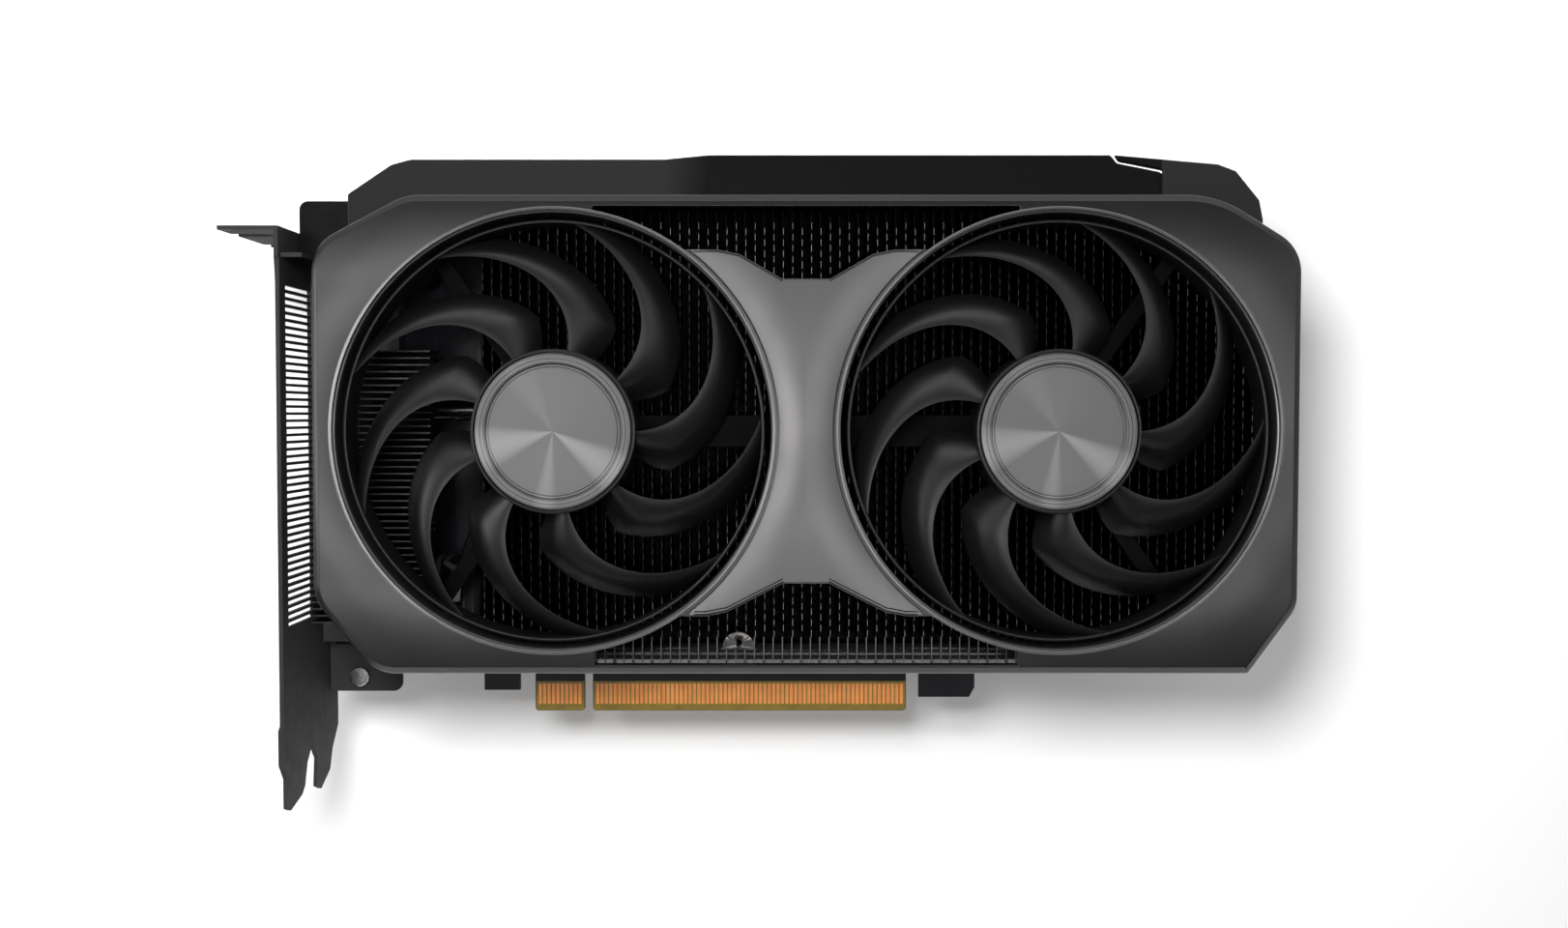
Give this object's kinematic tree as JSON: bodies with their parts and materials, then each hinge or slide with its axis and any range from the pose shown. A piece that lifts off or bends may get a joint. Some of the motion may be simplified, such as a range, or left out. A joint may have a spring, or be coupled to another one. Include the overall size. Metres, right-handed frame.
{
  "type": "graphics card",
  "caption": "Dual-fan graphics card with a two-slot bracket, finned heatsink, grey shroud with a silver hourglass trim and an open cooler frame",
  "frame": {"origin": "bottom face of the edge connector, at the middle of its long section and of the board thickness", "axes": "+X along the card away from the slot bracket, +Y from the fans towards the backplate, +Z away from the edge connector"},
  "size_m": [0.2204, 0.0393, 0.1368],
  "materials": {
    "satin_shroud": "satin",
    "silver_trim": "satin",
    "black_plastic": "fine grain",
    "fan_black": "satin",
    "spun_aluminium": "spun",
    "black_steel": "matt",
    "fin_aluminium": "bare",
    "copper": "bare",
    "nickel": "satin",
    "board_mask": "satin",
    "chip_black": "matt",
    "silicon": "polished",
    "plated_steel": "bare",
    "white_plastic": "satin",
    "sleeve": "matt",
    "winding": "enamelled"
  },
  "bodies": {
    "card": {"front_shroud": "satin_shroud", "centre_trim": "silver_trim", "top_cover": "black_plastic", "top_cover_end": "black_plastic", "mid_frame": "black_plastic", "backplate": "black_steel", "io_bracket": "black_steel", "circuit_board": "board_mask", "power_socket": "black_plastic", "display_socket_1": "plated_steel", "display_socket_2": "plated_steel", "display_socket_3": "plated_steel", "display_socket_4": "plated_steel", "gpu_package": "board_mask", "gpu_die": "silicon", "memory_chip_1": "chip_black", "memory_chip_2": "chip_black", "memory_chip_3": "chip_black", "memory_chip_4": "chip_black", "power_choke_1": "chip_black", "power_choke_2": "chip_black", "power_choke_3": "chip_black", "capacitor_1": "plated_steel", "capacitor_2": "plated_steel", "cold_plate": "copper", "lower_heat_pipe": "nickel", "left_heat_pipe": "nickel", "right_heat_pipe": "nickel", "main_fin_stack": "fin_aluminium", "end_fin_block": "fin_aluminium", "clamp_plate": "black_steel", "left_fan_bearing": "copper", "left_fan_stator": "winding", "left_fan_base": "black_plastic", "right_fan_bearing": "copper", "right_fan_stator": "winding", "right_fan_base": "black_plastic", "fan_header": "black_plastic", "fan_plug": "white_plastic", "left_fan_lead": "sleeve", "right_fan_lead": "sleeve", "backplate_screw_1": "plated_steel", "backplate_screw_2": "plated_steel", "backplate_screw_3": "plated_steel", "backplate_screw_4": "plated_steel", "spring_screw_1": "plated_steel", "spring_screw_2": "plated_steel", "spring_screw_3": "plated_steel", "spring_screw_4": "plated_steel", "bracket_screw_1": "plated_steel", "bracket_screw_2": "plated_steel"},
    "left_fan": {"left_fan_rotor": "fan_black", "left_hub_cap": "spun_aluminium", "left_fan_magnet": "plated_steel", "left_fan_shaft": "plated_steel"},
    "right_fan": {"right_fan_rotor": "fan_black", "right_hub_cap": "spun_aluminium", "right_fan_magnet": "plated_steel", "right_fan_shaft": "plated_steel"}
  },
  "joints": [
    {"name": "left_fan_spin", "type": "hinge", "parent": "card", "child": "left_fan", "pos_m": [-0.03935, -0.03, 0.0638], "axis": [0, 1, 0], "continuous": true},
    {"name": "right_fan_spin", "type": "hinge", "parent": "card", "child": "right_fan", "pos_m": [0.06405, -0.03, 0.0638], "axis": [0, 1, 0], "continuous": true}
  ]
}
